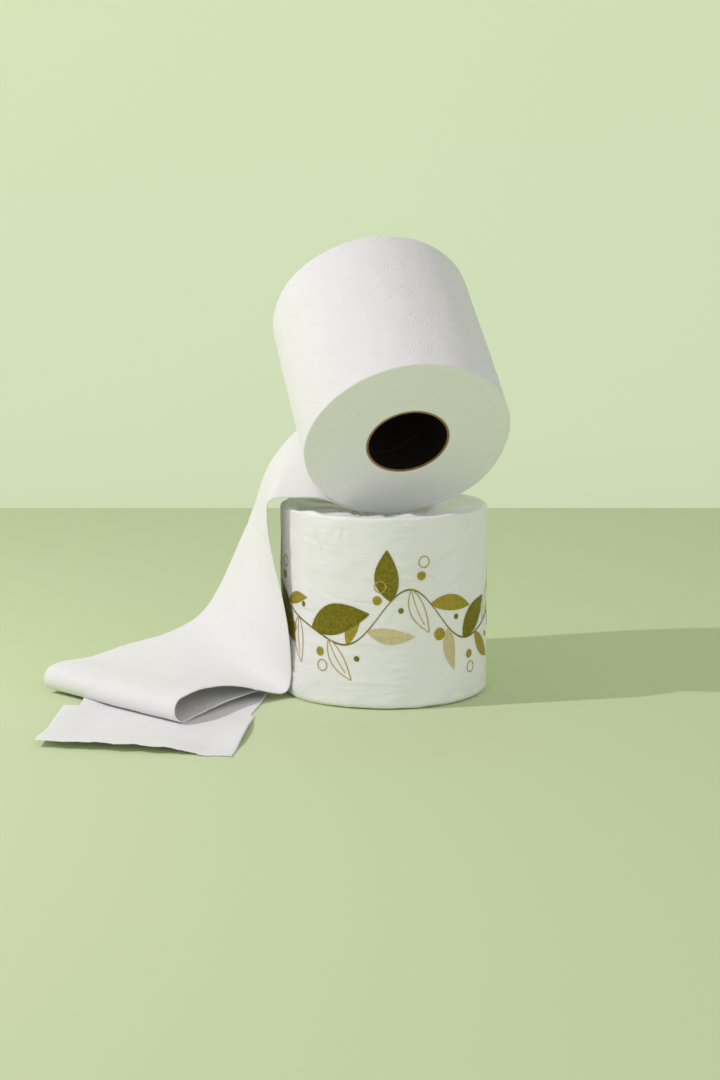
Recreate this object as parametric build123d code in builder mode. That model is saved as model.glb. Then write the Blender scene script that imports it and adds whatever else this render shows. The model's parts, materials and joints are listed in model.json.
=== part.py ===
"""Toilet paper roll pack: one roll sealed in its paper wrapper, and one loose roll balanced on it.

The wrapped roll stands on its end. The loose roll lies back on it, its lower front rim in the
tucked-in hollow on top, and its first sheets hang down and lie folded on the floor.
Millimetres, +Z up, origin at the centre of the wrapped roll's base, front towards -Y.
"""
from build123d import *
from math import cos, sin, radians
import os

# ---------------------------------------------------------------- driving sizes
sheet_width = 100.0        # width of the web, which is also the length of a roll
roll_diameter = 108.0      # wound paper, core to last turn
core_diameter = 43.6       # outside of the cardboard core
core_wall = 1.0
winding_gap = 0.1          # first turn round the core
tail_thickness = 0.8       # three embossed plies, with their loft
front_fold_radius = 6.4    # the loose turn at the front, where the web doubles under itself
back_fold_radius = 1.5     # the flatter turn at the back
floor_gap = 0.05           # lying web above the floor

wrapper_slack = 0.75       # crumpled wrapper, standing off the paper it holds
edge_radius = 6.0          # shoulder of the wrapped roll at both ends
hollow_radius = 23.0       # where the wrapper is tucked into the core, at the lip
hollow_floor = 17.0        # radius at the bottom of that hollow
hollow_depth = 12.0
lip_radius = 5.5
hollow_corner = 4.0

# ---------------------------------------------------------------- how the loose roll rests
lean = 37.9                # degrees that the roll's axis rises towards the back
turn = 13.9                # degrees that its front face is turned to the right
rim_x = 4.0                # where the lowest point of its front rim lies
rim_y = -0.5
rim_sink = 6.0             # how far that point is sunk below the top of the wrapped roll
seat_gap = 0.3             # between the wrapper and the roll that rests in it
front_leave = 20.0         # degrees from the roll's lowest line, where the web's front edge comes away
back_leave = -25.0         # the same for its back edge
tuck_turn = 9.0            # degrees that the web's solid runs on under the last turn
tuck_depth = 1.5           # and how deep it ends there
web_proud = 0.1            # last turn, standing off the roll where it comes away
past_lip = 8.0             # how far outside the hollow the web has risen clear of it

roll_radius = roll_diameter / 2
core_radius = core_diameter / 2
pack_radius = roll_radius + wrapper_slack
pack_height = sheet_width

axis_back = Vector(-sin(radians(turn)) * cos(radians(lean)),
                   cos(radians(turn)) * cos(radians(lean)),
                   sin(radians(lean)))
roll_left = Vector(-cos(radians(turn)), -sin(radians(turn)), 0)
face_up = axis_back.cross(roll_left)
rim_low = Vector(rim_x, rim_y, pack_height - rim_sink)
roll_plane = Plane(origin=rim_low + face_up * roll_radius, x_dir=roll_left, z_dir=axis_back)

# ---------------------------------------------------------------- the wrapped roll
with BuildPart() as wrapped_roll:
    with BuildSketch():
        Circle(pack_radius)
    extrude(amount=pack_height)
    fillet(wrapped_roll.edges().filter_by(GeomType.CIRCLE), edge_radius)
    for mouth in (Plane.XY.offset(pack_height), Plane(origin=(0, 0, 0), z_dir=(0, 0, -1))):
        with BuildSketch(mouth.offset(-hollow_depth)):
            Circle(hollow_floor)
        with BuildSketch(mouth):
            Circle(hollow_radius)
        loft(mode=Mode.SUBTRACT)
        lip = wrapped_roll.edges().filter_by(GeomType.CIRCLE).filter_by(
            lambda edge: abs(edge.radius - hollow_radius) < 0.01)
        fillet(lip, lip_radius)
        corner = wrapped_roll.edges().filter_by(GeomType.CIRCLE).filter_by(
            lambda edge: abs(edge.radius - hollow_floor) < 0.01)
        fillet(corner, hollow_corner)
    with BuildSketch(roll_plane.offset(-seat_gap)):
        Circle(roll_radius + seat_gap)
    extrude(amount=sheet_width + 2 * seat_gap, mode=Mode.SUBTRACT)
wrapped_roll.part.label = "wrapped_roll"

# ---------------------------------------------------------------- the cardboard core
with BuildPart() as core_tube:
    with BuildSketch(roll_plane):
        Circle(core_radius)
        Circle(core_radius - core_wall, mode=Mode.SUBTRACT)
    extrude(amount=sheet_width)
core_tube.part.label = "core_tube"


# ---------------------------------------------------------------- the tail of paper
def on_roll(angle, along, proud):
    """A point on the roll's surface, by its angle from the lowest line towards the left."""
    reach = roll_radius + proud
    return roll_plane.from_local_coords(
        (reach * sin(radians(angle)), -reach * cos(radians(angle)), along))


def fold_turn(front, back, outwards, radius, angles):
    """Pairs of points round a fold whose axis runs from front to back."""
    pairs = []
    for angle in angles:
        shift = (outwards * cos(radians(angle)) + Vector(0, 0, 1) * sin(radians(angle))) * radius
        pairs.append((Vector(*front) + shift, Vector(*back) + shift))
    return pairs


def plan_direction(degrees):
    """A level direction, by its angle from +X towards +Y."""
    return Vector(cos(radians(degrees)), sin(radians(degrees)), 0)


def station(x, y, z, heading, rise, reach=sheet_width):
    """A pair of points: the web's front edge, and its back edge a width away."""
    front = Vector(x, y, z)
    level = Vector(-sin(radians(heading)), cos(radians(heading)), 0) * cos(radians(rise))
    return front, front + (level + Vector(0, 0, sin(radians(rise)))) * reach


def run_between(first, last, shares, arch=0):
    """Pairs along a lying run, from one pair to the next, raised by a low arch in its middle."""
    pairs = []
    for share in shares:
        lift = Vector(0, 0, 4 * arch * share * (1 - share))
        pairs.append(tuple(a + (b - a) * share + lift for a, b in zip(first, last)))
    return pairs


left = -pack_radius        # side of the wrapped roll that the tail hangs beside
top = pack_height
half = tail_thickness / 2
lying = half + floor_gap   # middle of the web where it lies on the floor

pairs = [
    (on_roll(front_leave - tuck_turn, 0, -tuck_depth),
     on_roll(back_leave - tuck_turn, sheet_width, -tuck_depth)),
    (on_roll(front_leave, 0, web_proud - half), on_roll(back_leave, sheet_width, web_proud - half)),
    station(-hollow_radius - past_lip, -16, top + 4.2, -9.5, 25.5, 1.07 * sheet_width),
    station(left + 3, -24, top + 6, -7.5, 17, 1.055 * sheet_width),
    station(left - 5, -27, top + 5, -4.5, 12, 1.03 * sheet_width),
    station(left - 6.5, -27.5, top - 1, 0, 9, 1.015 * sheet_width),
    station(left - 3.5, -28, 0.75 * top, 7.5, 9, 1.01 * sheet_width),
    station(left + 2.5, -29, 0.50 * top, 17, 9),
    station(left + 5.5, -29.5, 0.25 * top, 26, 10),
    station(left + 3.5, -27, 4, 34, 13),
    station(left - 6, -34, 5, 38, 8.5),
    station(left - 22, -46, 11, 41, 3),
    station(left - 36, -64, 14, 44, 0),
]
front_axis = lying + 0.95 + front_fold_radius
front_fold = fold_turn((-101, -84, front_axis), (-176, -11, front_axis), plan_direction(-133),
                       front_fold_radius, (85, 60, 30, 0, -30, -60, -90))
back_axis = lying + back_fold_radius
back_fold = fold_turn((-62, -18, back_axis), (-155, 22, back_axis), plan_direction(66),
                      back_fold_radius, (80, 40, 0, -40, -90))
torn_end = station(-73.5, -149, lying, 79, 0, 0.98 * sheet_width)
pairs += front_fold
pairs += run_between(front_fold[-1], back_fold[0], (0.05, 0.2, 0.45, 0.7, 0.88, 0.97), 1.4)
pairs += back_fold
pairs += run_between(back_fold[-1], torn_end, (0.015, 0.05, 0.15, 0.4, 0.7, 1))

# Both edges share one scale of distance along the web, so that matching points stay matched.
along = [0.0]
for (front_a, back_a), (front_b, back_b) in zip(pairs, pairs[1:]):
    along.append(along[-1] + ((front_b - front_a).length + (back_b - back_a).length) / 2)
middle = [Edge.make_spline(list(side), parameters=along) for side in zip(*pairs)]

# The web's faces are offset by half its thickness, square to its run and its width.
upper, lower = [], []
for (front, back), distance in zip(pairs, along):
    share = distance / along[-1]
    onward = sum((edge.tangent_at(share, PositionMode.PARAMETER) for edge in middle), Vector())
    lift = (back - front).cross(onward).normalized() * half
    upper.append((front + lift, back + lift))
    lower.append((front - lift, back - lift))
rails = [Edge.make_spline(list(side), parameters=along)
         for side in (*zip(*upper), *reversed(list(zip(*lower))))]
sides = [Face.make_surface_from_curves(a, b) for a, b in zip(rails, rails[1:] + rails[:1])]
ends = [Face(Wire.make_polygon([rail @ end for rail in rails])) for end in (0, 1)]

with BuildPart() as paper_roll:
    add(Solid(Shell(sides + ends)))
    with BuildSketch(roll_plane):
        Circle(roll_radius)
    extrude(amount=sheet_width)
    with BuildSketch(roll_plane):
        Circle(core_radius + winding_gap)
    extrude(amount=sheet_width, mode=Mode.SUBTRACT)
paper_roll.part.label = "paper_roll"

print("tail of paper, mm: middle", round(along[-1]), "edges",
      [round(edge.length) for edge in middle])

os.makedirs("parts", exist_ok=True)
export_step(wrapped_roll.part, "parts/wrapped_roll.step")
export_step(core_tube.part, "parts/core_tube.step")
export_step(paper_roll.part, "parts/paper_roll.step")
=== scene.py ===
# %% [markdown]
# A toilet paper roll pack: one roll sealed in printed wrapping paper stands on its end, and a
# loose roll leans back on it, with its first sheets hanging down and lying folded on the floor.
# The solid model gives the sizes and places. Here each soft paper surface is made again as a
# fine mesh, because the wrinkles, folds and embossing are what tell the eye that it is paper.

# %% Tools and the frame
import json
from math import atan2, cos, hypot, pi, radians, sin, sqrt
import bmesh
import bpy
import numpy as np
from mathutils import Matrix, Vector, noise
from mathutils.bvhtree import BVHTree


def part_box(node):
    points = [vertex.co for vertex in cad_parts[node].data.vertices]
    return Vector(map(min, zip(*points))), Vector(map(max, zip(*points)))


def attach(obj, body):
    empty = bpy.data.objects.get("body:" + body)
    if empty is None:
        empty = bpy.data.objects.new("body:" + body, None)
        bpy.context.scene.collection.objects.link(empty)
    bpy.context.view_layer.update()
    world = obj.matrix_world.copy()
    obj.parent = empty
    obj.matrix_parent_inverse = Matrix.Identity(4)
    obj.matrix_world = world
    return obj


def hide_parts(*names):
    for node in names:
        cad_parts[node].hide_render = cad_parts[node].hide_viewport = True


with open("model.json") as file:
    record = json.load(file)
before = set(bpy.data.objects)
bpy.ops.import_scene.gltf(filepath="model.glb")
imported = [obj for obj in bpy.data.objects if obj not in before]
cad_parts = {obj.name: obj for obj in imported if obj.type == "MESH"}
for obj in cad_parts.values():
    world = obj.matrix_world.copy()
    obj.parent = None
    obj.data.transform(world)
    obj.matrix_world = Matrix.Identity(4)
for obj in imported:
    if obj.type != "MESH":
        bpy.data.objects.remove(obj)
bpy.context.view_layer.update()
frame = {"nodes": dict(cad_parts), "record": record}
MM = 0.001

# %% [markdown]
# Places come from the solid model. The loose roll leans, so it gets a frame of its own: x to
# its left, y up its end face, z along its core to the back. Its middle and its direction are
# those of the core's bore, and everything on the roll is worked out in that frame.

# %% Sizes
pack_low, pack_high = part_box("wrapped_roll")
pack_radius = (pack_high.x - pack_low.x) / 2
pack_height = pack_high.z
sheet_width = pack_height
roll_radius = 54 * MM
core_radius = 21.8 * MM
bore = next(m for m in frame["record"]["mounts"] if m["name"] == "core_bore")
roll_back = Vector(bore["axis"]).normalized()
roll_left = Vector((0, 0, 1)).cross(roll_back).normalized()
roll_up = roll_back.cross(roll_left)
roll_front = Vector(bore["pos_m"]) - roll_back * sheet_width / 2
roll_turn = Matrix((roll_left, roll_up, roll_back)).transposed().to_4x4()
roll_place = Matrix.Translation(roll_front) @ roll_turn
roll_inverse = roll_place.inverted()
print("wrapped roll, mm:", round(2 * pack_radius / MM, 1), "across,", round(pack_height / MM, 1), "high")


# %% [markdown]
# Shaders are made of nodes. One small function adds a node with its settings and its inputs,
# where an input is a plain value or another node's output. Colours are written as sRGB hex,
# the way a paint chart gives them, and turned to the linear values that light is reckoned in.

# %% Shader helpers
def linear(code, alpha=1.0):
    """Linear colour of an sRGB hex code."""
    shares = [int(code[i:i + 2], 16) / 255 for i in (1, 3, 5)]
    return [c / 12.92 if c <= 0.04045 else ((c + 0.055) / 1.055) ** 2.4 for c in shares] + [alpha]


def add(tree, kind, inputs=(), **settings):
    """Adds one node, with its settings, and each input's value or the socket that feeds it."""
    node = tree.nodes.new("ShaderNode" + kind)
    for name, value in settings.items():
        setattr(node, name, value)
    for name, value in dict(inputs).items():
        if isinstance(value, bpy.types.NodeSocket):
            tree.links.new(value, node.inputs[name])
        else:
            node.inputs[name].default_value = value
    return node


def new_material(name):
    """An empty material, its node tree and its main shader."""
    material = bpy.data.materials.new(name)
    material.use_nodes = True
    tree = material.node_tree
    return material, tree, tree.nodes["Principled BSDF"]


def calc(tree, operation, *values):
    """The result of one Math node."""
    return add(tree, "Math", dict(enumerate(values)), operation=operation).outputs[0]


def mixed(tree, share, first, second):
    """Two colours mixed by a share from 0 to 1."""
    return add(tree, "Mix", {0: share, 6: first, 7: second}, data_type="RGBA").outputs[2]


# %% [markdown]
# The camera stands low and a little to the left of the pack and looks slightly down on it.
# A long lens keeps the cylinders' sides nearly upright.

# %% Camera
camera = bpy.data.objects.new("camera", bpy.data.cameras.new("camera"))
camera.location = (-0.0127, -1.2154, 0.2791)
camera.rotation_euler = (pi / 2 - radians(9.30), 0, 0)
camera.data.lens = 77.07
camera.data.sensor_width = 36
bpy.context.scene.collection.objects.link(camera)
bpy.context.scene.camera = camera
bpy.context.scene.view_settings.view_transform = "Standard"

# %% [markdown]
# The set is a pale green table and wall. White paper takes its tint from what stands round
# it, so the shaded end of the loose roll looks green although the paper is not. Each board is
# a single flat face. The wall glows a little of its own, which stands for a lamp behind the
# set and saves adding one.

# %% Floor and wall
def plain_colour(name, code, roughness, glow):
    """Matt paint of one colour, with a share of glow."""
    material, _, shader = new_material(name)
    shader.inputs["Base Color"].default_value = linear(code)
    shader.inputs["Roughness"].default_value = roughness
    shader.inputs["Emission Color"].default_value = linear(code)
    shader.inputs["Emission Strength"].default_value = glow
    return material


table_back = 650 * MM      # where the table ends, behind the pack
table_reach = 3.0          # m, half the table's length
wall_distance = 1.6        # m, from the pack to the wall
wall_size = 8.0            # m
paint_roughness = 0.9
for name, size, place, tilt, code, glow in (
        ("floor", 2 * table_reach, (0, table_back - table_reach, 0), 0, "#d3e1b4", 0.0),
        ("wall", wall_size, (0, wall_distance, 0), pi / 2, "#d3e2b9", 0.37)):
    grid = bmesh.new()
    bmesh.ops.create_grid(grid, x_segments=1, y_segments=1, size=size / 2)
    bmesh.ops.transform(grid, verts=grid.verts,
                        matrix=Matrix.Translation(place) @ Matrix.Rotation(tilt, 4, "X"))
    mesh = bpy.data.meshes.new(name)
    grid.to_mesh(mesh)
    grid.free()
    mesh.materials.append(plain_colour("painted board " + name, code, paint_roughness, glow))
    board = bpy.data.objects.new(name, mesh)
    bpy.context.scene.collection.objects.link(board)
    print(name, "stands", [round(v, 2) for v in place])

# %% [markdown]
# One small hard lamp high on the left draws the cast shadow and its crisp edge. A wide, low,
# weak one in front lifts the paper's shaded side without washing the shadow off the table,
# because its light only grazes the floor. The sky fills in the rest.

# %% Light
pack_middle = Vector((0, 0, 0.08))
key = bpy.data.objects.new("key_light", bpy.data.lights.new("key_light", "POINT"))
key.location = (-0.842, -0.263, 0.819)
key.data.energy = 23.0
key.data.shadow_soft_size = 0.012
key.data.color = (1.0, 0.94, 0.99)
bpy.context.scene.collection.objects.link(key)
fill = bpy.data.objects.new("fill_light", bpy.data.lights.new("fill_light", "AREA"))
fill.location = (0.62, -1.3, 0.2)
fill.rotation_euler = (pack_middle - fill.location).to_track_quat("-Z", "Y").to_euler()
fill.data.shape = "RECTANGLE"
fill.data.size = 1.3
fill.data.size_y = 0.2
fill.data.energy = 2.6
bpy.context.scene.collection.objects.link(fill)
sky = bpy.data.worlds.new("studio")
sky.use_nodes = True
sky.node_tree.nodes["Background"].inputs["Color"].default_value = (0.98, 0.955, 1.0, 1)
sky.node_tree.nodes["Background"].inputs["Strength"].default_value = 0.49
bpy.context.scene.world = sky
print("lamps, W:", key.data.energy, "key,", fill.data.energy, "fill")

# %% [markdown]
# Toilet tissue is creped and then embossed: rows of small dots draw curved lines, and a much
# finer field of dots keeps the plies together. The lines are an ogee lattice, which is two
# sets of waves that meet and part. Its spacing is in millimetres across and along the web,
# which the web's own UV map holds, so that the pattern follows the paper round every bend.
# Tissue is nearly white, has no gloss at all, and lets some light through, which subsurface
# gives. Each dot is painted a little paler than the paper round it, a painted highlight for the
# light that catches the raised dot. The same tissue is made twice: on the roll it lies in many
# layers, and the hanging web is thin and its waves show less.
# The ends of a roll are another finish, hundreds of cut edges that show as fine rings.

# %% Tissue
wave_long = 30.0           # mm, from one meeting of the waves to the next
wave_pitch = 22.0          # mm, from one wave to its neighbour
wave_swing = 5.5           # mm, how far a wave leans out
dot_pitch = 1.7            # mm, dots along a wave, drawn a little coarser than real ones
fine_pitch = 1.15          # mm, the field of fine dots
line_core = 0.25           # mm from the middle of a line of dots to where it starts to fade
line_edge = 0.85           # mm from the middle of a line of dots to where it ends


def wave(tree, value, length):
    """A sine wave of a given length, from -1 to 1."""
    return calc(tree, "SINE", calc(tree, "MULTIPLY", value, 2 * pi / length))


def lattice(tree, across, along, sign):
    """Dots on one set of the lattice's waves: 1 on a wave and 0 away from it."""
    swing = calc(tree, "MULTIPLY", wave(tree, along, wave_long), sign * wave_swing)
    place = calc(tree, "DIVIDE", calc(tree, "ADD", across, swing), wave_pitch)
    off = calc(tree, "ABSOLUTE", calc(tree, "SUBTRACT", calc(tree, "FRACT", place), 0.5))
    off = calc(tree, "MULTIPLY", off, wave_pitch)
    line = add(tree, "MapRange", {0: off, 1: line_core, 2: line_edge, 3: 1.0, 4: 0.0},
               interpolation_type="SMOOTHSTEP").outputs[0]
    dots = wave(tree, along, dot_pitch)
    return calc(tree, "MULTIPLY", line, calc(tree, "MULTIPLY_ADD", dots, 0.5, 0.5))


def make_tissue(name, through, depth, dots):
    """Tissue with its dotted waves. Through and depth say how much light passes into it and how
    many mm deep, and dots how strongly the waves show."""
    material, tree, shader = new_material(name)
    web = add(tree, "UVMap", uv_map="web").outputs[0]
    parts = add(tree, "SeparateXYZ", {0: web}).outputs
    across, along = parts[0], parts[1]
    waves = calc(tree, "MAXIMUM", lattice(tree, across, along, 1), lattice(tree, across, along, -1))
    waves = calc(tree, "MULTIPLY", waves, dots)
    fine = calc(tree, "MULTIPLY", wave(tree, across, fine_pitch), wave(tree, along, fine_pitch))
    # Crepe wrinkles of about 0.7 mm, and clouds of about 17 mm, on a map in millimetres.
    crepe = add(tree, "TexNoise", {"Vector": web, "Scale": 1.4, "Detail": 3.0}).outputs[0]
    cloud = add(tree, "TexNoise", {"Vector": web, "Scale": 0.06, "Detail": 2.0}).outputs[0]
    grain = calc(tree, "ADD", calc(tree, "MULTIPLY", fine, 0.10), calc(tree, "MULTIPLY", crepe, 0.35))
    height = calc(tree, "ADD", waves, grain)
    plain = mixed(tree, cloud, linear("#ebeae9"), linear("#efeeee"))
    # Painted highlight: the dotted waves are painted paler than the paper, for the light that catches the
    # raised dots.
    colour = mixed(tree, waves, plain, linear("#f7f7f7"))
    bump = add(tree, "Bump", {"Height": height, "Distance": 0.26 * MM, "Strength": 0.7})
    tree.links.new(colour, shader.inputs["Base Color"])
    tree.links.new(bump.outputs[0], shader.inputs["Normal"])
    shader.inputs["Subsurface Weight"].default_value = through
    shader.inputs["Subsurface Radius"].default_value = (1.0, 0.95, 0.9)
    shader.inputs["Subsurface Scale"].default_value = depth * MM
    shader.inputs["Roughness"].default_value = 0.95
    shader.inputs["Specular IOR Level"].default_value = 0.2
    return material


def in_roll_frame(tree):
    """Object coordinates, turned and moved into the leaning roll's own frame."""
    place = add(tree, "TexCoord").outputs["Object"]
    return add(tree, "Mapping", {"Vector": place, "Location": roll_inverse.translation,
                                 "Rotation": roll_inverse.to_euler()}).outputs[0]


def make_cut_edges():
    """The end of a roll: hundreds of cut edges of tissue, fine rings with loose fibres."""
    material, tree, shader = new_material("cut edges of wound tissue")
    turned = in_roll_frame(tree)
    parts = add(tree, "SeparateXYZ", {0: turned}).outputs
    flat = add(tree, "CombineXYZ", {0: parts[0], 1: parts[1]}).outputs[0]
    metres = add(tree, "VectorMath", {0: flat}, operation="LENGTH").outputs["Value"]
    # Rings of about 0.6 mm, each several real layers, and loose fibres of about 1 mm.
    rings_along = calc(tree, "MULTIPLY", calc(tree, "DIVIDE", metres, MM), 1.6)
    rings = add(tree, "TexNoise", {"W": rings_along, "Detail": 2.0}, noise_dimensions="1D").outputs[0]
    fibres = add(tree, "TexNoise", {"Vector": turned, "Scale": 900.0, "Detail": 4.0}).outputs[0]
    height = calc(tree, "ADD", calc(tree, "MULTIPLY", rings, 0.5), calc(tree, "MULTIPLY", fibres, 0.9))
    bump = add(tree, "Bump", {"Height": height, "Distance": 0.25 * MM, "Strength": 0.6})
    colour = mixed(tree, fibres, linear("#e9ebe8"), linear("#f4f5f2"))
    tree.links.new(colour, shader.inputs["Base Color"])
    tree.links.new(bump.outputs[0], shader.inputs["Normal"])
    shader.inputs["Roughness"].default_value = 1.0
    shader.inputs["Specular IOR Level"].default_value = 0.1
    return material


tissue = make_tissue("creped embossed tissue", 0.3, 1.5, 1.6)
loose_tissue = make_tissue("thin hanging tissue", 0.6, 0.6, 0.5)
cut_edges = make_cut_edges()
print("tissue:", len(tissue.node_tree.nodes), "nodes; cut edges:", len(cut_edges.node_tree.nodes), "nodes")


# %% [markdown]
# The wrapper is thin machine-glazed paper: a trace fewer fibres and a trace more sheen than
# the tissue, and it lets some light through too. Noise stretched sideways gives the soft
# wrinkles that run round it. Its print is ink in olive, gold and tan with a faint glint of
# metal, which soaks in unevenly, so its colour wanders between two close shades.

# %% Wrapper paper and inks
def make_wrapper_paper():
    """Thin wrinkled paper with a slight sheen."""
    material, tree, shader = new_material("machine glazed wrapping paper")
    place = add(tree, "TexCoord").outputs["Object"]
    # Clouds of about 17 mm, fibres of about 0.9 mm, and wrinkles about 28 mm long and 11 mm high.
    cloud = add(tree, "TexNoise", {"Vector": place, "Scale": 60.0, "Detail": 3.0}).outputs[0]
    fibres = add(tree, "TexNoise", {"Vector": place, "Scale": 1100.0, "Detail": 3.0}).outputs[0]
    stretched = add(tree, "Mapping", {"Vector": place, "Scale": (36.0, 36.0, 95.0)}).outputs[0]
    wrinkles = add(tree, "TexNoise", {"Vector": stretched, "Scale": 1.0, "Detail": 3.0,
                                      "Distortion": 0.8}).outputs[0]
    height = calc(tree, "ADD", wrinkles, calc(tree, "MULTIPLY", fibres, 0.05))
    colour = mixed(tree, cloud, linear("#f0f1ee"), linear("#f7f7f6"))
    bump = add(tree, "Bump", {"Height": height, "Distance": 1.8 * MM, "Strength": 0.7})
    tree.links.new(colour, shader.inputs["Base Color"])
    tree.links.new(bump.outputs[0], shader.inputs["Normal"])
    shader.inputs["Subsurface Weight"].default_value = 0.3
    shader.inputs["Subsurface Radius"].default_value = (1.0, 1.0, 0.95)
    shader.inputs["Subsurface Scale"].default_value = 2.0 * MM
    shader.inputs["Roughness"].default_value = 0.45
    shader.inputs["Specular IOR Level"].default_value = 0.35
    return material


def make_ink(name, dark, light):
    """Ink that wanders between two shades, in specks of about 1.4 mm."""
    material, tree, shader = new_material(name)
    place = add(tree, "TexCoord").outputs["Object"]
    specks = add(tree, "TexNoise", {"Vector": place, "Scale": 700.0, "Detail": 3.0}).outputs[0]
    share = add(tree, "MapRange", {0: specks, 1: 0.35, 2: 0.65}).outputs[0]
    tree.links.new(mixed(tree, share, linear(dark), linear(light)), shader.inputs["Base Color"])
    bump = add(tree, "Bump", {"Height": specks, "Distance": 0.03 * MM, "Strength": 0.4})
    tree.links.new(bump.outputs[0], shader.inputs["Normal"])
    shader.inputs["Roughness"].default_value = 0.5
    shader.inputs["Metallic"].default_value = 0.3
    return material


wrapper_paper = make_wrapper_paper()
inks = {
    "olive": make_ink("olive ink on paper", "#6b6400", "#8a8000"),
    "gold": make_ink("gold ink on paper", "#b39a3e", "#c4ae60"),
    "sage": make_ink("light olive ink on paper", "#9c8c22", "#b3a13a"),
    "tan": make_ink("tan ink on paper", "#d0bf90", "#dccfa6"),
}
print("inks:", ", ".join(inks))


# %% [markdown]
# The core is a tube of brown board, wound from strips on a slant. The strips' edges show as
# a spiral line inside it. Hardly any light reaches the inside, so it is drawn nearly black,
# and only the cut ends show the board's brown. The tube's plain solid needs no new shape.

# %% Core board
strip_climb = 62 * MM      # how far a strip climbs in one turn
seam_share = 0.02          # of the climb, the dark line between two strips
cut_reach = 0.7 * MM       # how far the cut end's pale board is seen


def make_core_board():
    """Board inside painted nearly black as painted shade, brown board at the cut ends, with a spiral seam.
    """
    material, tree, shader = new_material("spirally wound core board")
    turned = in_roll_frame(tree)
    parts = add(tree, "SeparateXYZ", {0: turned}).outputs
    angle = calc(tree, "ARCTAN2", parts[1], parts[0])
    climb = calc(tree, "MULTIPLY_ADD", angle, 1 / (2 * pi), calc(tree, "DIVIDE", parts[2], strip_climb))
    seam = calc(tree, "LESS_THAN", calc(tree, "FRACT", climb), seam_share)
    fibres = add(tree, "TexNoise", {"Vector": turned, "Scale": 420.0, "Detail": 5.0}).outputs[0]
    from_middle = calc(tree, "ABSOLUTE", calc(tree, "SUBTRACT", parts[2], sheet_width / 2))
    cut = calc(tree, "GREATER_THAN", from_middle, sheet_width / 2 - cut_reach)
    # Painted shade: the board inside the tube is painted nearly black for the shade in the bore; only the
    # cut ends keep the board's brown.
    face = mixed(tree, fibres, linear("#0d0805"), linear("#1a110b"))
    face = mixed(tree, seam, face, linear("#2a1c12"))
    board = mixed(tree, fibres, linear("#7d5c3c"), linear("#a98559"))
    colour = mixed(tree, cut, face, board)
    height = calc(tree, "SUBTRACT", fibres, seam)
    bump = add(tree, "Bump", {"Height": height, "Distance": 0.2 * MM, "Strength": 0.6})
    tree.links.new(colour, shader.inputs["Base Color"])
    tree.links.new(bump.outputs[0], shader.inputs["Normal"])
    shader.inputs["Roughness"].default_value = 0.9
    shader.inputs["Specular IOR Level"].default_value = 0.2
    return material


core = frame["nodes"]["core_tube"]
core_board = make_core_board()
core.data.materials.clear()
core.data.materials.append(core_board)
print("core:", len(core.data.polygons), "faces of", core_board.name)


# %% [markdown]
# Every new piece ends the same way: its mesh goes into an object at the origin, smooth
# shaded, which rides on the pack's one body and stands for its plain solid.

# %% Finishing a piece
def finish_piece(shape, name, materials, replaced):
    """Turns a bmesh into a piece of the pack."""
    mesh = bpy.data.meshes.new(name)
    shape.to_mesh(mesh)
    shape.free()
    for material in materials:
        mesh.materials.append(material)
    mesh.shade_smooth()
    piece = bpy.data.objects.new(name, mesh)
    bpy.context.scene.collection.objects.link(piece)
    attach(piece, "root")
    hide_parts(replaced)
    print(name, len(mesh.polygons), "faces")
    return piece


# %% [markdown]
# Round pieces start as a line drawn in (radius, height) points, which is then spun. A line is
# joined from straight runs and arcs, so the few real sizes stay readable. A smooth step does
# for soft edges what a ramp does in a shader.

# %% Lines and spinning
def smooth_step(low, high, value):
    """0 below low, 1 above high, and a smooth rise between."""
    share = min(1.0, max(0.0, (value - low) / (high - low)))
    return share * share * (3 - 2 * share)


def profile(*stretches):
    """Joins stretches of (radius, height) points into one line, without doubled points."""
    points = []
    for stretch in stretches:
        points += [p for p in stretch
                   if not points or hypot(p[0] - points[-1][0], p[1] - points[-1][1]) > 0.05]
    return points


def run(start, end, step):
    """Points on a straight line from start to end, about a step apart."""
    count = max(1, round(hypot(end[0] - start[0], end[1] - start[1]) / step))
    return [(start[0] + (end[0] - start[0]) * i / count, start[1] + (end[1] - start[1]) * i / count)
            for i in range(count + 1)]


def arc(centre, radius, first, last, steps):
    """Points on an arc, by its angles in degrees."""
    return [(centre[0] + radius * cos(radians(first + (last - first) * i / steps)),
             centre[1] + radius * sin(radians(first + (last - first) * i / steps)))
            for i in range(steps + 1)]


def turned_shape(points, steps, closed):
    """Spins a line of (radius, height) points, in mm, round the upright axis."""
    shape = bmesh.new()
    verts = [shape.verts.new((r * MM, 0, z * MM)) for r, z in points]
    pairs = zip(verts, verts[1:] + verts[:1]) if closed else zip(verts, verts[1:])
    edges = [shape.edges.new(pair) for pair in pairs]
    bmesh.ops.spin(shape, geom=verts + edges, axis=(0, 0, 1), cent=(0, 0, 0), angle=2 * pi, steps=steps,
                   use_merge=True)
    bmesh.ops.remove_doubles(shape, verts=shape.verts, dist=0.01 * MM)
    bmesh.ops.recalc_face_normals(shape, faces=shape.faces)
    return shape


# %% [markdown]
# The loose roll could be a cylinder, but a real one is soft. It is a little out of round,
# its rims are rounded, its ends show the wound layers as rings, and the embossed lattice
# dents its outside. One line is spun upright, moved point by point, and then the whole is
# tipped into the roll's place. Its UV map holds millimetres across and along the web.

# %% The loose roll
rim = 0.7                  # mm, softened edge of the roll
layer = 1.0                # mm, rings shown on the ends, several real layers each
long = sheet_width / MM
outer = roll_radius / MM
inner = core_radius / MM + 0.1   # mm, clear of the core
roll_steps = 372           # faces round the roll
emboss_depth = 0.10        # mm


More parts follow.
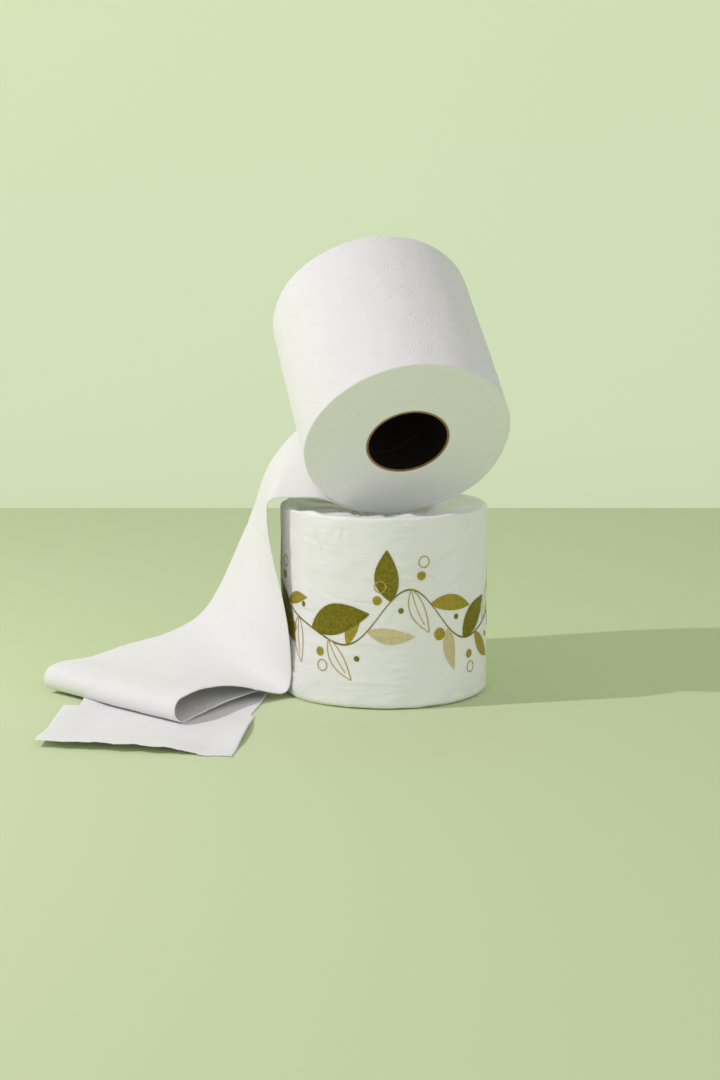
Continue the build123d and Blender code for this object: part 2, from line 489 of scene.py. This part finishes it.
def emboss(across, along):
    """Depth of the lattice's waves, in mm: dents a fraction of a millimetre deep."""
    depth = 0.0
    for sign in (1, -1):
        place = (across + sign * wave_swing * sin(2 * pi * along / wave_long)) / wave_pitch
        off = abs(place - np.floor(place) - 0.5) * wave_pitch
        depth = max(depth, 1 - smooth_step(0.3, 2.2, off))
    return emboss_depth * depth


def roll_swell(angle, along):
    """How far the roll is out of round, in mm."""
    lumps = noise.noise(Vector((1.6 * cos(angle), 1.6 * sin(angle), along / 70)))
    small = noise.noise(Vector((6 * cos(angle), 6 * sin(angle), along / 18 + 9)))
    return 0.75 * lumps + 0.22 * small


roll_line = profile(
    run((inner, 0), (outer - rim, 0), layer),
    arc((outer - rim, rim), rim, -90, 0, 4),
    run((outer, rim), (outer, long - rim), 1.0),
    arc((outer - rim, long - rim), rim, 0, 90, 4),
    run((outer - rim, long), (inner, long), layer),
    run((inner, long), (inner, 0), 20)[:-1])
roll_shape = turned_shape(roll_line, roll_steps, closed=True)
web_map = roll_shape.loops.layers.uv.new("web")
for face in roll_shape.faces:
    centre = face.calc_center_median()
    middle = atan2(centre.x, -centre.y)
    on_side = hypot(centre.x, centre.y) > roll_radius - 0.6 * rim * MM
    face.material_index = 0 if on_side else 1
    for loop in face.loops:
        angle = atan2(loop.vert.co.x, -loop.vert.co.y)
        angle += 2 * pi * round((middle - angle) / (2 * pi))
        loop[web_map].uv = (loop.vert.co.z / MM, outer * angle)
for vert in roll_shape.verts:
    reach = hypot(vert.co.x, vert.co.y) / MM
    angle = atan2(vert.co.x, -vert.co.y)
    along = vert.co.z / MM
    share = smooth_step(inner, outer, reach)
    swell = share * roll_swell(angle, along)
    if reach > outer - 0.5 * rim:
        swell -= emboss(along, outer * angle)
    end = -1 if along < 2 * rim else 1 if along > long - 2 * rim else 0
    ring = noise.noise(Vector((reach * 0.9, 0.5 * cos(angle), 0.5 * sin(angle))))
    bulge = noise.noise(Vector((vert.co.x / MM / 22, vert.co.y / MM / 22, 3.3 * end)))
    lift = end * (0.16 * ring + 0.35 * bulge - 0.1) * smooth_step(inner, inner + 4, reach)
    vert.co.x *= 1 + swell / reach
    vert.co.y *= 1 + swell / reach
    vert.co.z += lift * MM
bmesh.ops.transform(roll_shape, verts=roll_shape.verts, matrix=roll_place)
loose_roll = finish_piece(roll_shape, "loose_roll", [tissue, cut_edges], "paper_roll")


# %% [markdown]
# The web that hangs from the roll is one sheet, 100 mm wide, that leaves the roll at its
# lowest line, swings down beside the wrapped roll, runs out over the floor, doubles back
# under itself, and turns once more to end in a torn edge. Its two long edges are smooth
# curves through the same stations as in the solid model. A flat grid is laid between them,
# so every part of it keeps its place on the web, and it gets the thickness of three plies.

# %% The hanging web's route
left = -pack_radius / MM
top = pack_height / MM
wide = sheet_width / MM
half = 0.4                 # mm, half the thickness of the web's solid
lying = half + 0.05
hollow_radius = 23.0


def on_roll(angle, along, proud):
    """A point on the roll, by its angle from the lowest line towards the left."""
    reach = outer + proud
    turn = radians(angle)
    return roll_place @ (Vector((reach * sin(turn), -reach * cos(turn), along)) * MM) / MM


def fold_turn(front, back, outwards, radius, angles):
    """Pairs of points round a fold whose axis runs from front to back."""
    pairs = []
    for angle in angles:
        shift = (outwards * cos(radians(angle)) + Vector((0, 0, 1)) * sin(radians(angle))) * radius
        pairs.append((Vector(front) + shift, Vector(back) + shift))
    return pairs


def plan_direction(degrees):
    """A level direction, by its angle from +X towards +Y."""
    return Vector((cos(radians(degrees)), sin(radians(degrees)), 0))


def station(x, y, z, heading, rise, reach=wide):
    """A pair of points: the web's front edge, and its back edge a width away."""
    level = Vector((-sin(radians(heading)), cos(radians(heading)), 0)) * cos(radians(rise))
    return Vector((x, y, z)), Vector((x, y, z)) + (level + Vector((0, 0, sin(radians(rise))))) * reach


def run_between(first, last, shares, arch):
    """Pairs along a lying run, from one pair to the next, raised by a low arch in its middle."""
    pairs = []
    for share in shares:
        lift = Vector((0, 0, 4 * arch * share * (1 - share)))
        pairs.append(tuple(a + (b - a) * share + lift for a, b in zip(first, last)))
    return pairs


pairs = [
    (on_roll(11, 0, -1.5), on_roll(-34, wide, -1.5)),
    (on_roll(20, 0, 0.1 - half), on_roll(-25, wide, 0.1 - half)),
    station(-hollow_radius - 8, -16, top + 4.2, -9.5, 25.5, 1.07 * wide),
    station(left + 3, -24, top + 6, -7.5, 17, 1.055 * wide),
    station(left - 5, -27, top + 5, -4.5, 12, 1.03 * wide),
    station(left - 6.5, -27.5, top - 1, 0, 9, 1.015 * wide),
    station(left - 3.5, -28, 0.75 * top, 7.5, 9, 1.01 * wide),
    station(left + 2.5, -29, 0.50 * top, 17, 9),
    station(left + 5.5, -29.5, 0.25 * top, 26, 10),
    station(left + 3.5, -27, 4, 34, 13),
    station(left - 6, -34, 5, 38, 8.5),
    station(left - 22, -46, 11, 41, 3),
    station(left - 36, -64, 14, 44, 0),
]
front_fold = fold_turn((-101, -84, 7.8), (-176, -11, 7.8), plan_direction(-133), 6.4,
                       (85, 60, 30, 0, -30, -60, -90))
back_fold = fold_turn((-62, -18, lying + 1.5), (-155, 22, lying + 1.5), plan_direction(66), 1.5,
                      (80, 40, 0, -40, -90))
torn_end = station(-73.5, -149, lying, 79, 0, 0.98 * wide)
pairs += front_fold
pairs += run_between(front_fold[-1], back_fold[0], (0.05, 0.2, 0.45, 0.7, 0.88, 0.97), 1.4)
pairs += back_fold
pairs += run_between(back_fold[-1], torn_end, (0.015, 0.05, 0.15, 0.4, 0.7, 1), 0)
distances = [0.0]
for (front_a, back_a), (front_b, back_b) in zip(pairs, pairs[1:]):
    distances.append(distances[-1] + ((front_b - front_a).length + (back_b - back_a).length) / 2)
web_long = distances[-1]
print("hanging web, mm:", round(web_long), "long,", len(pairs), "stations")


# %% [markdown]
# Paper bends smoothly, so a straight line from station to station would look broken. A
# natural cubic curve has no kink and no sudden change of bend, and a small table of
# equations, one for each station, gives it.

# %% A smooth curve through the stations
def curve_through(points, places, wanted):
    """Points at the wanted places on the natural cubic curve through points."""
    points = np.array(points, float)
    gaps = np.diff(places)
    count = len(places)
    system, right = np.eye(count), np.zeros((count, 3))
    for i in range(1, count - 1):
        system[i, i - 1:i + 2] = gaps[i - 1], 2 * (gaps[i - 1] + gaps[i]), gaps[i]
        right[i] = 6 * ((points[i + 1] - points[i]) / gaps[i] - (points[i] - points[i - 1]) / gaps[i - 1])
    bend = np.linalg.solve(system, right)
    at = np.clip(np.searchsorted(places, wanted) - 1, 0, count - 2)
    gap, past = gaps[at], np.asarray(wanted) - np.asarray(places)[at]
    a, b = ((gap - past) / gap)[:, None], (past / gap)[:, None]
    square = (gap ** 2)[:, None] / 6
    return (a * points[at] + b * points[at + 1]
            + ((a ** 3 - a) * bend[at] + (b ** 3 - b) * bend[at + 1]) * square)


# %% [markdown]
# The real web has a few small faults that make it look like paper. Its edges aren't quite
# true, its torn end is ragged and curls off the floor, a faint crease marks each line of
# perforations, and the last sheet lies a little out of line with the others.

# %% The web's faults
rows, columns = 448, 90
web_thickness = 0.42       # mm
sheet_long = 100.0         # mm between perforations
last_sheet = 88.0          # mm from the last perforation to the torn end, at the front edge
torn_askew = 14.0          # mm less than that at the back edge
tooth_pitch = 3.3          # mm between the teeth of the torn end
steps = np.linspace(0, web_long, rows + 1)
front_edge = curve_through([p[0] for p in pairs], distances, steps)
back_edge = curve_through([p[1] for p in pairs], distances, steps)


def edge_shift(side, to_end):
    """How far an edge stands past its curve, in mm: sheets tear and lie a little askew."""
    ragged = 0.22 * noise.noise(Vector((to_end / 3.1, 40 * side, 0)))
    seam = last_sheet - torn_askew * side
    if to_end < seam:
        return ragged + (3.4 * to_end / seam if side == 1 else 0.8 * sin(pi * to_end / seam))
    return ragged + (-5.0 if side == 1 else -2.0) * (1 - smooth_step(0, 42, to_end - seam))


def torn(across, to_end):
    """How far the torn end stands past the straight line, in mm."""
    teeth = abs((across / tooth_pitch) % 1 - 0.5) * 1.3
    tufts = 1.9 * noise.noise(Vector((across / 9, 0, 4))) + 0.8 * noise.noise(Vector((across / 2.2, 0, 8)))
    return (teeth + tufts - 0.3) * (1 - smooth_step(0, 9, to_end))


def ripple(across, along):
    """Soft waves of the unrolled web, in mm."""
    broad = noise.noise(Vector((across / 45, along / 38, 2.0)))
    small = noise.noise(Vector((across / 11, along / 14, 6.0)))
    seam = web_long - last_sheet + torn_askew * across / wide
    to_seam = abs((seam - along + sheet_long / 2) % sheet_long - sheet_long / 2)
    crease = 0.3 * (1 - smooth_step(0.3, 1.6, to_seam))
    return 0.55 * broad + 0.13 * small - crease


def corner_lift(share, to_end):
    """How high the last sheet's edges curl off the floor, in mm."""
    end = 3.2 * smooth_step(0.10, 0.36, share) * (1 - smooth_step(0, 34, to_end))
    side = 1.6 * smooth_step(6, 34, to_end) * (1 - smooth_step(52, 88, to_end))
    side *= 1 - smooth_step(0, 0.16, share)
    corner = 1.6 * smooth_step(0.8, 1.0, share) * (1 - smooth_step(20, 90, abs(to_end - 84)))
    return end + side + corner


print("web grid:", rows, "rows by", columns, "columns, last sheet", last_sheet, "mm")

# %% [markdown]
# The grid has a column and a row for each millimetre or so of the paper, which is fine
# enough for the folds and the torn edge. Each point goes to its place
# between the two edges, and is then moved in the sheet's own directions: across, onward and
# out. Solidify gives the thickness last, so that both faces stay the same distance apart.

# %% The hanging web
web = bmesh.new()
bmesh.ops.create_grid(web, x_segments=columns, y_segments=rows, size=1)
web_map = web.loops.layers.uv.new("web")
places = {}
for vert in web.verts:
    column = round((vert.co.x + 1) / 2 * columns)
    row = round((vert.co.y + 1) / 2 * rows)
    places[vert] = (column / columns, row)
for face in web.faces:
    for loop in face.loops:
        share, row = places[loop.vert]
        loop[web_map].uv = (share * wide, steps[row])
for vert, (share, row) in places.items():
    front, back = Vector(front_edge[row]), Vector(back_edge[row])
    ahead = min(row + 1, rows)
    behind = max(row - 1, 0)
    onward = (Vector(front_edge[ahead] - front_edge[behind]) * (1 - share)
              + Vector(back_edge[ahead] - back_edge[behind]) * share).normalized()
    width = (back - front).normalized()
    lift = width.cross(onward).normalized()
    to_end = web_long - steps[row]
    spot = front + (back - front) * share
    spot += width * (edge_shift(1, to_end) * share ** 6 - edge_shift(0, to_end) * (1 - share) ** 6)
    spot += onward * torn(share * wide, to_end)
    across, along = share * wide, steps[row]
    free = smooth_step(6, 30, along)
    spot += lift * (free * ripple(across, along) - emboss(across, along) + 0.08)
    spot.z += corner_lift(share, to_end)
    vert.co = spot * MM
floor_clear = (web_thickness / 2 + 0.05) * MM
for vert in web.verts:
    vert.co.z = max(vert.co.z, floor_clear)
tail = finish_piece(web, "hanging_web", [loose_tissue], "paper_roll")
plies = tail.modifiers.new("three plies", "SOLIDIFY")
plies.thickness = web_thickness * MM
plies.offset = 0


# %% [markdown]
# The wrapped roll is a soft cylinder of thin paper. The paper is rolled round, its spare
# length at each end is gathered in pleats towards the middle, and the gathers are pushed
# into the core. A spun line gives the pressed shape. Noise and a few placed creases give
# the slack of the paper, and a saw-tooth round the end gives the overlapping pleats.

# %% The wrapper's shape
outside = pack_radius / MM
tall = pack_height / MM
top_shoulder, base_shoulder = 1.3, 3.4   # mm, rounding of the two ends
top_sag, base_sag = 2.4, 0.8             # mm, how far the gathers sag inside each rim
lip, floor_corner = 5.5, 4.0             # mm, rounding of the hollow's rim and of its floor
hollow_floor, hollow_depth = 17.0, 12.0  # mm, radius and depth of the hollow's floor
pleats = 19
wrapper_steps = 368                      # faces round the wrapper
roll_gap = 0.35                          # mm of clear space kept under the loose roll


def end_line(shoulder, sag):
    """Points from the middle of the tucked-in hollow to the wrapper's side, height from the end.
    The gathered paper sags a little inside the rim."""
    return profile(
        run((0, -hollow_depth + 1.5), (hollow_floor - floor_corner, -hollow_depth), 1.6),
        arc((hollow_floor - floor_corner, -hollow_depth + floor_corner), floor_corner, -90, -30, 3),
        run((hollow_floor + 0.6, -hollow_depth + 3), (hollow_radius - 0.4, -2.6 - sag), 1.3),
        arc((hollow_radius + lip - 0.6, -lip - sag), lip, 155, 90, 5),
        run((hollow_radius + lip, -sag), (outside - shoulder - 7, -sag), 1.1),
        run((outside - shoulder - 6, -0.8 * sag), (outside - shoulder - 1, -0.12), 1.0),
        arc((outside - shoulder, -shoulder), shoulder, 88, 0, 7))


rng = np.random.default_rng(11)
pleat_starts = np.sort(rng.uniform(0, 2 * pi, pleats))


def pleat(angle, reach):
    """Where in its pleat a point lies: 0 just past a fold, 1 at the next one."""
    swirl = angle + 0.35 * (outside - reach) / outside
    swirl += 0.05 * noise.noise(Vector((3 * cos(angle), 3 * sin(angle), reach / 9)))
    swirl %= 2 * pi
    at = np.searchsorted(pleat_starts, swirl)
    low = pleat_starts[at - 1] - (2 * pi if at == 0 else 0)
    high = pleat_starts[at % len(pleat_starts)] + (2 * pi if at == len(pleat_starts) else 0)
    return (swirl - low) / (high - low), high - low


def slack(angle, height, reach):
    """How far the paper stands out from its pressed shape, in mm."""
    round_x, round_y = reach * cos(angle), reach * sin(angle)
    broad = noise.noise(Vector((round_x / 30, round_y / 30, height / 42)))
    soft = noise.noise(Vector((round_x / 12, round_y / 12, height / 9)))
    patch = smooth_step(-0.05, 0.35, noise.noise(Vector((round_x / 26, round_y / 26, height / 20 + 5))))
    lines = 1 - abs(noise.noise(Vector((round_x / 16, round_y / 16, height / 3.0 + 20)))) * 3.2
    side = smooth_step(outside - 6, outside - 1, reach)
    out = 0.42 * broad + 0.16 * soft + side * 0.30 * patch * max(lines, 0) ** 2
    share, span = pleat(angle, reach)
    saw = share ** 1.4 * (1 - smooth_step(0.8, 1.0, share))
    near = max(smooth_step(tall - 13, tall - 3, height), 1 - smooth_step(2, 9, height))
    depth = 0.3 * near + (0.9 + 0.9 * min(span, 0.4)) * smooth_step(0, 14, outside - 2 - reach)
    return out + depth * (saw - 0.55)


# %% [markdown]
# Noise alone looks too even. On the real wrapper a few folds catch the eye, so these are
# placed one by one: mounds on the gathered end, and creases in the side. The loose roll presses
# on the gathers, so any point that would stand inside it is moved straight down.

# %% Placed folds
mounds = (  # places where the gathered paper stands up: x, y, half widths, height, all in mm
    (12, -41, 11, 5, 2.6), (-14, -46, 13, 4, 1.2), (-35, -36, 8, 5, 1.4), (32, -39, 9, 5, 0.8),
    (44, 12, 7, 14, 1.0), (-6, 44, 16, 6, 1.5), (-44, 8, 5, 9, 1.2))
creases = (  # folds in the side: first and last point (mm round from the front, height), half width, depth
    ((16, 72), (46, 84), 2.6, 0.5), ((8, 78), (30, 66), 2.4, 0.4), ((28, 60), (52, 71), 2.5, 0.4),
    ((38, 12), (60, 3), 2.5, 0.7), ((30, 4), (52, 16), 2.3, 0.5), ((-40, 92), (-33, 80), 2.4, 0.5),
    ((-50, 95), (-46, 84), 2.3, 0.4), ((-22, 96), (-24, 88), 2.2, 0.4), ((66, 90), (78, 58), 2.8, 0.5),
    ((-70, 20), (-48, 9), 2.5, 0.5), ((110, 80), (150, 64), 2.8, 0.6), ((120, 20), (96, 40), 2.7, 0.5),
    ((-120, 70), (-90, 52), 2.7, 0.5), ((-140, 14), (-112, 30), 2.6, 0.6), ((0, 6), (22, 10), 2.2, 0.3))


def creased(place, height):
    """Depth of the placed folds at a point of the side, in mm."""
    total = 0.0
    for (s0, z0), (s1, z1), width, depth in creases:
        run_s, run_z = s1 - s0, z1 - z0
        length = hypot(run_s, run_z)
        share = ((place - s0) * run_s + (height - z0) * run_z) / length ** 2
        if -0.2 < share < 1.2:
            off = ((place - s0) * run_z - (height - z0) * run_s) / length
            taper = smooth_step(-0.1, 0.3, share) * (1 - smooth_step(0.7, 1.1, share))
            if off > 0:
                ridge = 1 - smooth_step(0, width, off)
            else:
                ridge = -0.8 * (1 - smooth_step(0, 2.2 * width, -off))
            total += depth * taper * ridge
    return total


def below_roll(point, gap):
    """Moves a point that lies inside the loose roll, or nearer than the gap, straight down out of it."""
    local = roll_inverse @ point
    reach = roll_radius + gap
    if local.z < -gap or hypot(local.x, local.y) > reach or local.z > sheet_width:
        return point
    down = roll_inverse.to_3x3() @ Vector((0, 0, -1))
    by_end = (local.z + gap) / -down.z
    by_side = (local.y + sqrt(max(reach ** 2 - local.x ** 2, 0))) / -down.y
    return point - Vector((0, 0, min(by_end, by_side)))


print(len(mounds), "mounds and", len(creases), "creases")

# %% [markdown]
# The pressed shape is spun, and each point is moved along its own normal, which is taken
# before any point moves. The two rims and the hollows come from the line, and the paper's
# lap runs up the back. Last, nothing may lie under the floor.

# %% The wrapper
top_line = [(r, tall + z) for r, z in end_line(top_shoulder, top_sag)]
base_line = [(r, -z) for r, z in reversed(end_line(base_shoulder, base_sag))]
side_line = run((outside, tall - top_shoulder), (outside, base_shoulder), 1.0)
wrapper_line = profile(top_line, side_line, base_line)
wrapper = turned_shape(wrapper_line, wrapper_steps, closed=False)
normals = {vert: vert.normal.copy() for vert in wrapper.verts}
for vert, normal in normals.items():
    spot = vert.co / MM
    reach = hypot(spot.x, spot.y)
    angle = atan2(spot.x, -spot.y)
    out = slack(angle, spot.z, reach)
    if reach > outside - 4:
        out += creased(outside * angle, spot.z)
    for x, y, half_x, half_y, height in mounds if spot.z > tall / 2 else ():
        out += height * np.exp(-((spot.x - x) / half_x) ** 2 - ((spot.y - y) / half_y) ** 2)
    lap = (angle - 2.7) % (2 * pi) * outside
    out += 0.35 * smooth_step(0, 1.5, lap) * (1 - smooth_step(1.5, 16, lap)) * smooth_step(40, 50, reach)
    vert.co += normal * out * MM
    vert.co = below_roll(vert.co, roll_gap * MM)
    vert.co.z = max(vert.co.z, 0)
wrapper_box = [max(v.co.x for v in wrapper.verts) / MM, max(v.co.z for v in wrapper.verts) / MM]
paper_tree = BVHTree.FromBMesh(wrapper)
print("wrapper reaches, mm:", [round(v, 1) for v in wrapper_box])
wrapper = finish_piece(wrapper, "wrapper", [wrapper_paper], "wrapped_roll")


# %% [markdown]
# The print is a plain garland: a wavy stem that runs right round the pack, with almond
# leaves, rings and dots. It could be painted by the shader, but thin patches of mesh keep
# crisp edges. Each motif starts as a small flat grid, is bent to its outline, and is then
# dropped onto the paper, one or two tenths of a millimetre proud. Each ink has a height of
# its own, so that one motif laid over another doesn't cut through it.

# %% Motifs
ink_rise = {"tan": 0.10, "sage": 0.13, "olive": 0.16, "gold": 0.19}   # mm above the paper
line_wide = 0.55           # mm, the pen line of an open leaf
prints = {name: bmesh.new() for name in inks}


def lay_print(ink, columns, rows, outline):
    """Adds one motif: a grid whose points outline(u, v), u and v from -1 to 1, puts on the paper.
    It gives millimetres round from the front, and height."""
    shape = prints[ink]
    made = bmesh.ops.create_grid(shape, x_segments=columns, y_segments=rows, size=1)["verts"]
    for vert in made:
        place, height = outline(vert.co.x, vert.co.y)
        angle = place / outside
        away = Vector((sin(angle), -cos(angle), 0))
        start = away * 2 * pack_radius + Vector((0, 0, height * MM))
        spot, normal, _, _ = paper_tree.ray_cast(start, -away)
        vert.co = spot + normal * ink_rise[ink] * MM


def spin_about(place, height, degrees, x, z):
    """A motif's own point, turned and moved to its place on the paper."""
    c, s = cos(radians(degrees)), sin(radians(degrees))
    return place + c * x - s * z, height + s * x + c * z


def almond(t, wide):
    """Half the width of an almond leaf, at a share t of its length."""
    return wide / 2 * (sin(pi * t ** 0.85)) ** 0.9 if 0 < t < 1 else 0


def leaf(ink, place, height, degrees, long, wide, bow):
    """A solid almond leaf, from its stalk outwards. Bow is its bend, as a share of its length."""
    def outline(u, v):
        t = (u + 1) / 2
        half = almond(t, wide)
        return spin_about(place, height, degrees, t * long, half * v + bow * long * sin(pi * t))
    lay_print(ink, max(8, round(long / 0.8)), max(4, round(wide / 0.9)), outline)


def leaf_line(ink, place, height, degrees, long, wide, bow):
    """The outline of an almond leaf, with its midrib."""
    for side in (1, -1):
        def edge(u, v, side=side):
            t = (u + 1) / 2
            off = side * almond(t, wide) + v * line_wide / 2 + bow * long * sin(pi * t)
            return spin_about(place, height, degrees, t * long, off)
        lay_print(ink, max(10, round(long)), 1, edge)

    def rib(u, v):
        t = (u + 1) / 2 * 0.8
        off = v * line_wide * 0.4 + bow * long * sin(pi * t)
        return spin_about(place, height, degrees, t * long, off)
    lay_print(ink, max(8, round(long / 1.4)), 1, rib)


def disc(ink, place, height, radius, hole=0.0):
    """A dot, or a ring with a hole."""
    def outline(u, v):
        reach = hole + (radius - hole) * (v + 1) / 2
        return place + reach * cos(pi * u), height + reach * sin(pi * u)
    lay_print(ink, max(16, round(6 * radius)), max(1, round((radius - hole) / 0.8)), outline)


def stem_height(place):
    """Height of the garland's stem, in mm, at a place round the pack."""
    return 46 + 13 * sin(4 * place / outside + 0.6) + 4 * sin(7 * place / outside)


def stem(ink, first, last, width):
    """The stem, as a thin band that follows its wave."""
    def outline(u, v):
        place = first + (last - first) * (u + 1) / 2
        return place, stem_height(place) + v * width / 2
    lay_print(ink, round((last - first) / 1.2), 1, outline)


# %% [markdown]
# The leaves follow the stem at even spaces and lean with its slope, by turns above and below
# it. Sizes and kinds vary by sines and by counting, so the garland has no plain repeat, and
# it comes out the same each time. Berries and rings fill the spaces between the leaves.

# %% The garland
around = 2 * pi * outside
bow = 0.05                 # bend of every leaf, as a share of its length
stem("olive", 0, around - 0.01, 0.9)
sprig = 0
place = 3.0
spacing = 10.7             # mm from one leaf to the next along the stem
kinds = ("olive", "line", "sage", "tan", "olive", "sage", "line")
while place < around - 6:
    slope = (stem_height(place + 1) - stem_height(place - 1)) / 2
    lean = atan2(slope, 1) * 180 / pi
    up = 1 if sprig % 2 == 0 else -1
    kind = kinds[sprig % len(kinds)]
    long_leaf = 19 + 8 * abs(sin(2.3 * sprig)) + (8 if kind == "olive" else 0)
    wide_leaf = long_leaf * (0.46 if kind == "olive" else 0.32)
    angle = lean + up * (46 + 14 * sin(1.7 * sprig))
    if kind == "line":
        leaf_line("gold", place, stem_height(place), angle, long_leaf, wide_leaf, bow * up)
    else:
        leaf(kind, place, stem_height(place), angle, long_leaf, wide_leaf, bow * up)
    berry = place + spacing / 2
    gap_up = -up * 9.5
    disc("sage" if sprig % 3 else "olive", berry, stem_height(berry) + gap_up, 1.5 + 0.9 * (sprig % 3))
    if sprig % 3 == 1:
        disc("gold", berry + 1.5, stem_height(berry) + gap_up * 1.75, 3.2, 2.6)
    sprig += 1
    place += spacing
for name, shape in prints.items():
    bmesh.ops.remove_doubles(shape, verts=shape.verts, dist=0.005 * MM)
    finish_piece(shape, "print_" + name, [inks[name]], "wrapped_roll")
